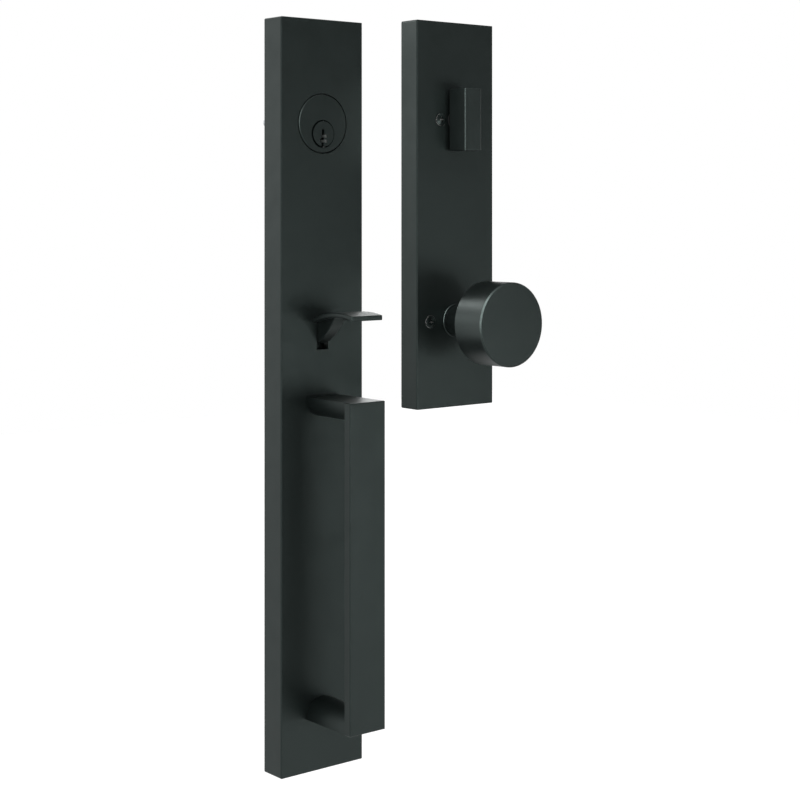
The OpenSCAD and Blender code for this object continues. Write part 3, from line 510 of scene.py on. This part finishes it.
class HANDLESET_OT_fasteners(bpy.types.Operator):
    """Finish the screws that show on the interior plate"""

    bl_idname = "handleset.fasteners"
    bl_label = "Finish face screws"

    def execute(self, context):
        finish = context.scene.handleset_finish
        for name in FACE_SCREWS:
            paint_node(name, screw_finish(f"black_{name}", finish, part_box(name)[0].y))
        return {"FINISHED"}


class HANDLESET_OT_works(bpy.types.Operator):
    """Finish the steel, plated, brass and nylon pieces behind the plates"""

    bl_idname = "handleset.works"
    bl_label = "Finish hidden works"

    def execute(self, context):
        finish = context.scene.handleset_finish
        steel = bare_metal("bare_steel_sheet", finish.steel, 0.36, stretch=(0.1, 1, 1))
        zinc = bare_metal("zinc_plate", finish.zinc, 0.32)
        for name in SHEET_STEEL:
            paint_node(name, steel)
        for name in ZINC_PLATED:
            paint_node(name, zinc)
        paint_node("cylinder_nut", bare_metal("turned_brass", finish.brass, 0.3))
        paint_node("turn_bushing", moulded_nylon("black_nylon", finish.nylon))
        return {"FINISHED"}


def each_once(items):
    """The items in their order, each one once"""
    return list(dict.fromkeys(items))


def spot(element):
    """A number for the place of a part of a mesh, to sort by, so that each run gives one order"""
    verts = [element] if isinstance(element, bmesh.types.BMVert) else element.verts
    return sum(v.co.dot(SORTING_LINE) for v in verts) / len(verts)


class WireBender:
    """Bends a round wire from straight runs and arcs, as a spring maker does"""

    def __init__(self, start, direction, diameter, sides):
        self.mesh = bmesh.new()
        turn = Vector(direction).to_track_quat("Z", "Y").to_matrix().to_4x4()
        made = bmesh.ops.create_circle(
            self.mesh, segments=sides, radius=diameter / 2, matrix=Matrix.Translation(start) @ turn)
        self.end = each_once(e for v in made["verts"] for e in v.link_edges)
        self.start = list(self.end)

    def run(self, step):
        """A straight stretch"""
        made = bmesh.ops.extrude_edge_only(self.mesh, edges=self.end)["geom"]
        verts = [g for g in made if isinstance(g, bmesh.types.BMVert)]
        bmesh.ops.translate(self.mesh, verts=verts, vec=step)
        self.end = [g for g in made if isinstance(g, bmesh.types.BMEdge)
                    and set(g.verts) <= set(verts)]

    def bend(self, centre, axis, degrees, steps, advance=0.0):
        """An arc, or a coil that advances along its axis"""
        verts = each_once(v for e in self.end for v in e.verts)
        made = bmesh.ops.spin(
            self.mesh, geom=verts + self.end, cent=centre, axis=axis,
            dvec=Vector(axis) * advance / steps, angle=math.radians(degrees), steps=steps,
            use_duplicate=False)["geom_last"]
        self.end = [g for g in made if isinstance(g, bmesh.types.BMEdge)]

    def finish(self, name):
        """Caps the ends and returns the piece"""
        for ring in (self.start, self.end):
            bmesh.ops.edgeloop_fill(self.mesh, edges=sorted(ring, key=spot))
        bmesh.ops.recalc_face_normals(self.mesh, faces=self.mesh.faces)
        for parts in (self.mesh.verts, self.mesh.edges, self.mesh.faces):
            parts.sort(key=spot)
        for face in self.mesh.faces:
            face.smooth = len(face.verts) == 4
        data = bpy.data.meshes.new(name)
        self.mesh.to_mesh(data)
        self.mesh.free()
        piece = bpy.data.objects.new(name, data)
        bpy.context.scene.collection.objects.link(piece)
        return piece


def bend_steps(degrees):
    """Facets for a bend, about one for each ten degrees"""
    return max(3, math.ceil(abs(degrees) / 10))


class HANDLESET_OT_thumb_spring(bpy.types.Operator):
    """Bend the double torsion spring that lies across the thumb lever's tail"""

    bl_idname = "handleset.thumb_spring"
    bl_label = "Bend thumb spring"

    def execute(self, context):
        springs = context.scene.handleset_springs
        finish = context.scene.handleset_finish
        low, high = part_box("thumb_spring")
        radius = springs.thumb_wire / 2
        coil = springs.thumb_coil
        outer = high.x - radius
        leg_end = Vector((-outer, low.y + radius, high.z - radius / 2))
        away = leg_end - THUMB_AXIS
        leave = math.atan2(away.z, away.y) - math.acos(coil / math.hypot(away.y, away.z))
        on_coil = THUMB_AXIS + Vector((-outer, coil * math.cos(leave), coil * math.sin(leave)))
        coil_turn = 360 * springs.thumb_turns - 90 + math.degrees(leave)
        coil_wide = outer - springs.thumb_inner
        half_bridge = springs.thumb_inner - springs.bend
        back = Vector((0, springs.thumb_bridge - springs.bend, 0))
        corner = Vector((half_bridge, 0, 0))

        wire = WireBender(leg_end, on_coil - leg_end, springs.thumb_wire, springs.sides)
        wire.run(on_coil - leg_end)
        wire.bend(THUMB_AXIS, (1, 0, 0), -coil_turn, bend_steps(coil_turn), coil_wide)
        wire.run(back)
        wire.bend(THUMB_AXIS + back - corner, (0, 0, 1), -90, bend_steps(90))
        wire.run(2 * corner)
        wire.bend(THUMB_AXIS + back + corner, (0, 0, 1), -90, bend_steps(90))
        wire.run(-back)
        wire.bend(THUMB_AXIS, (1, 0, 0), coil_turn, bend_steps(coil_turn), coil_wide)
        wire.run(leg_end - on_coil)
        piece = wire.finish("thumb_spring_wire")
        piece.data.materials.append(bare_metal("thumb_spring_steel", finish.steel, 0.3))
        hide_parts("thumb_spring")
        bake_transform(piece)
        return {"FINISHED"}


class HANDLESET_OT_knob_spring(bpy.types.Operator):
    """Bend the knob's return spring: two legs on one coil"""

    bl_idname = "handleset.knob_spring"
    bl_label = "Bend knob spring"

    def execute(self, context):
        springs = context.scene.handleset_springs
        finish = context.scene.handleset_finish
        low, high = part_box("knob_return_spring")
        radius = springs.knob_wire / 2
        front = low.y + radius
        deep = high.y - low.y - springs.knob_wire
        side = springs.knob_leg + springs.bend
        reach = springs.knob_coil + springs.bend
        rise = math.sqrt(reach ** 2 - side ** 2)
        turn_in = math.degrees(math.acos(side / reach))
        coil_turn = 360 * springs.knob_turns - 2 * (90 - turn_in)
        leg = high.z - KNOB_AXIS.z - rise

        wire = WireBender((KNOB_AXIS.x - springs.knob_leg, front, high.z), (0, 0, -1),
                          springs.knob_wire, springs.sides)
        wire.run((0, 0, -leg))
        wire.bend(KNOB_AXIS + Vector((-side, 0, rise)), (0, 1, 0), turn_in, bend_steps(turn_in))
        wire.bend(KNOB_AXIS, (0, 1, 0), -coil_turn, bend_steps(coil_turn), deep)
        wire.bend(KNOB_AXIS + Vector((side, 0, rise)), (0, 1, 0), turn_in, bend_steps(turn_in))
        wire.run((0, 0, leg))
        piece = wire.finish("knob_spring_wire")
        piece.data.materials.append(bare_metal("knob_spring_steel", finish.steel, 0.3))
        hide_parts("knob_return_spring")
        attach(piece, "fixed_halves")
        return {"FINISHED"}


def light_path_world(world, stage):
    """White behind the object and in its reflections, an even plain light elsewhere"""
    world.use_nodes = True
    tree = world.node_tree
    tree.nodes.clear()
    path = add_node(tree, "ShaderNodeLightPath").outputs
    room = add_node(tree, "ShaderNodeBackground", Strength=stage.sky)
    white = add_node(tree, "ShaderNodeBackground")
    for background in (room, white):
        background.inputs["Color"].default_value = (1, 1, 1, 1)
    mix = add_node(tree, "ShaderNodeMixShader")
    output = add_node(tree, "ShaderNodeOutputWorld")
    seen = combine(tree, "MAXIMUM", path["Is Camera Ray"], path["Is Glossy Ray"])
    seen_through = combine(tree, "MAXIMUM", seen, path["Is Transmission Ray"])
    tree.links.new(seen_through, mix.inputs["Fac"])
    tree.links.new(room.outputs["Background"], mix.inputs[1])
    tree.links.new(white.outputs["Background"], mix.inputs[2])
    tree.links.new(mix.outputs["Shader"], output.inputs["Surface"])


def floor_material():
    """Pale floor, seen as white, that still takes a shadow"""
    material, tree, shader, _ = start_material("pale_floor")
    shader.inputs["Base Color"].default_value = (FLOOR_TONE, FLOOR_TONE, FLOOR_TONE, 1)
    shader.inputs["Roughness"].default_value = FLOOR_ROUGHNESS
    glow = add_node(tree, "ShaderNodeEmission")
    path = add_node(tree, "ShaderNodeLightPath")
    seen = add_node(tree, "ShaderNodeMath", operation="MULTIPLY")
    seen.inputs[1].default_value = FLOOR_SEEN
    mirrored = add_node(tree, "ShaderNodeMath", operation="MULTIPLY_ADD")
    mirrored.inputs[1].default_value = FLOOR_MIRRORED
    total = add_node(tree, "ShaderNodeAddShader")
    tree.links.new(path.outputs["Is Camera Ray"], seen.inputs[0])
    tree.links.new(path.outputs["Is Glossy Ray"], mirrored.inputs[0])
    tree.links.new(seen.outputs["Value"], mirrored.inputs[2])
    tree.links.new(mirrored.outputs["Value"], glow.inputs["Strength"])
    tree.links.new(shader.outputs["BSDF"], total.inputs[0])
    tree.links.new(glow.outputs["Emission"], total.inputs[1])
    tree.links.new(total.outputs["Shader"], tree.nodes["Material Output"].inputs["Surface"])
    return material


# Panels that the paint mirrors: name, bearing to the right of straight on and rise in degrees,
# distance, width and height in metres, brightness for the exterior and for the interior half,
# and whether a black card backs it
PANELS = (
    ("front_panel", 36, 15, 1.59, 2.2, 1.7, 0.12, 0.12, True),
    ("key_panel", 18, -11, 1.5, 1.0, 0.5, 2.9, 3.6, False),
    ("right_panel", 140, 34, 1.7, 2.6, 1.4, 2.4, 0.0, True),
    ("right_low_panel", 145, 8, 1.5, 0.7, 0.5, 1.7, 2.4, False),
    ("left_panel", 219, 11, 1.5, 1.0, 0.4, 1.4, 2.3, True),
    ("low_panel", 212, -20, 0.9, 1.1, 0.7, 0.0, 0.6, False),
    ("knob_softbox", 202, 33, 1.5, 0.5, 0.3, 0.0, 10.0, False),
    ("side_panel", -47, 15, 1.5, 0.5, 1.5, 3.0, 3.0, False),
    ("left_card", -50, 12, 1.6, 1.9, 2.0, 0.0, 0.0, True),
    ("top_card", 90, 51, 1.4, 0.7, 0.7, 0.0, 0.0, True),
    ("side_card", 126, 2, 1.5, 0.4, 0.5, 0.0, 0.0, True),
    ("low_card", 74, -28, 0.42, 0.3, 0.3, 0.0, 0.0, True),
)

# Panels for the edges of the pieces that stand proud, in the same order of values
EDGE_PANELS = (
    ("side_softbox", -47, 22, 1.5, 0.5, 1.5, 5.0, 11.0, False),
    ("edge_softbox", -36, 50, 1.5, 0.35, 0.45, 0.0, 28.0, False),
)


def towards(bearing, rise):
    """The direction from the object to a panel: bearing 0 is straight in front of the plates"""
    turn, tilt = math.radians(bearing), math.radians(rise)
    return Vector((math.sin(turn) * math.cos(tilt), -math.cos(turn) * math.cos(tilt),
                   math.sin(tilt)))


def black_card(name, face, distance, width, height):
    """A black card, alone or behind a panel, which shows only in gloss"""
    place = Matrix.Translation(face * distance) @ face.to_track_quat("Z", "Y").to_matrix().to_4x4()
    mesh = bmesh.new()
    bmesh.ops.create_grid(mesh, x_segments=1, y_segments=1, size=0.5,
                          matrix=place @ Matrix.Diagonal((width, height, 1, 1)))
    data = bpy.data.meshes.new(name)
    mesh.to_mesh(data)
    mesh.free()
    material, _, shader, _ = start_material(name)
    shader.inputs["Base Color"].default_value = (0, 0, 0, 1)
    shader.inputs["Specular IOR Level"].default_value = 0
    data.materials.append(material)
    card = bpy.data.objects.new(name, data)
    bpy.context.scene.collection.objects.link(card)
    for kind in ("camera", "diffuse", "transmission", "shadow"):
        setattr(card, f"visible_{kind}", False)


def group_of(name, pieces):
    """A collection of pieces that lamps are linked to"""
    group = bpy.data.collections.new(name)
    for piece in pieces:
        group.objects.link(piece)
    return group


def soft_panel(name, face, distance, width, height, brightness, lit, half):
    """A soft lamp for pieces of one half of the set, which the other half doesn't shade"""
    data = bpy.data.lights.new(name, "AREA")
    data.shape = "RECTANGLE"
    data.size = width
    data.size_y = height
    data.energy = brightness * math.pi * width * height
    lamp = bpy.data.objects.new(name, data)
    lamp.location = face * distance
    lamp.rotation_euler = face.to_track_quat("Z", "Y").to_euler()
    lamp.visible_camera = False
    lamp.visible_diffuse = False
    lamp.light_linking.receiver_collection = lit
    lamp.light_linking.blocker_collection = half
    bpy.context.scene.collection.objects.link(lamp)


class HANDLESET_OT_stage(bpy.types.Operator):
    """Set up the pale floor, the soft studio light and the camera"""

    bl_idname = "handleset.stage"
    bl_label = "Set the stage"

    def execute(self, context):
        scene = context.scene
        stage = scene.handleset_stage
        scene.view_settings.view_transform = "Standard"
        world = bpy.data.worlds.new("studio")
        scene.world = world
        light_path_world(world, stage)

        grid = bmesh.new()
        bmesh.ops.create_grid(grid, x_segments=1, y_segments=1, size=stage.floor_size / 2,
                              matrix=Matrix.Translation((0, 0, stage.floor_drop)))
        data = bpy.data.meshes.new("floor")
        grid.to_mesh(data)
        grid.free()
        floor = bpy.data.objects.new("floor", data)
        floor.data.materials.append(floor_material())
        scene.collection.objects.link(floor)

        # The lamps light CAD nodes. The springs behind the plates have the room's light alone.
        middle = (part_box("exterior_plate")[1].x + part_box("interior_plate")[0].x) / 2
        inner = [obj for name, obj in NODES.items()
                 if sum(corner.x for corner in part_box(name)) / 2 > middle]
        outer = [obj for obj in NODES.values() if obj not in inner]
        halves = (group_of("exterior_half", outer), group_of("interior_half", inner))
        proud = [group_of(f"{half.name}_proud",
                          [NODES[name] for name in PROUD if name in half.objects])
                 for half in halves]
        for lit, panels in ((halves, PANELS), (proud, EDGE_PANELS)):
            for name, bearing, rise, distance, width, height, *levels, backed in panels:
                face = towards(bearing, rise)
                if backed:
                    black_card(f"{name}_card", face, distance + CARD_GAP, width, height)
                for group, half, level in zip(lit, halves, levels):
                    if level:
                        soft_panel(f"{half.name}_{name}", face, distance, width, height, level,
                                   group, half)

        camera = bpy.data.objects.new("camera", bpy.data.cameras.new("camera"))
        camera.data.lens = stage.camera_lens
        camera.data.sensor_width = SENSOR_WIDTH
        camera.data.shift_y = stage.camera_shift
        camera.location = stage.camera_place
        camera.rotation_euler = (math.radians(90), 0, -stage.camera_turn)
        scene.collection.objects.link(camera)
        scene.camera = camera
        return {"FINISHED"}


class HANDLESET_PT_panel(bpy.types.Panel):
    """Finishes, springs and studio of the handleset"""

    bl_idname = "HANDLESET_PT_panel"
    bl_label = "Entry door handleset"
    bl_space_type = "VIEW_3D"
    bl_region_type = "UI"
    bl_category = "Handleset"

    def draw(self, context):
        layout = self.layout
        for group in ("handleset_finish", "handleset_springs", "handleset_stage"):
            settings = getattr(context.scene, group)
            box = layout.box()
            for key in settings.__annotations__:
                box.prop(settings, key)
        for operator in STEPS:
            layout.operator(operator.bl_idname)


STEPS = (HANDLESET_OT_stage, HANDLESET_OT_castings, HANDLESET_OT_turned_parts,
         HANDLESET_OT_fasteners, HANDLESET_OT_works, HANDLESET_OT_thumb_spring,
         HANDLESET_OT_knob_spring)
GROUPS = {"handleset_finish": HandlesetFinish, "handleset_springs": HandlesetSprings,
          "handleset_stage": HandlesetStage}


def register():
    for kind in (*GROUPS.values(), *STEPS, HANDLESET_PT_panel):
        bpy.utils.register_class(kind)
    for name, kind in GROUPS.items():
        setattr(bpy.types.Scene, name, bpy.props.PointerProperty(type=kind))


def unregister():
    for name in GROUPS:
        delattr(bpy.types.Scene, name)
    for kind in reversed((*GROUPS.values(), *STEPS, HANDLESET_PT_panel)):
        bpy.utils.unregister_class(kind)


def main():
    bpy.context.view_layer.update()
    register()
    bpy.ops.handleset.stage()
    bpy.ops.handleset.castings()
    bpy.ops.handleset.turned_parts()
    bpy.ops.handleset.fasteners()
    bpy.ops.handleset.works()
    bpy.ops.handleset.thumb_spring()
    bpy.ops.handleset.knob_spring()


if __name__ == "__main__":
    main()
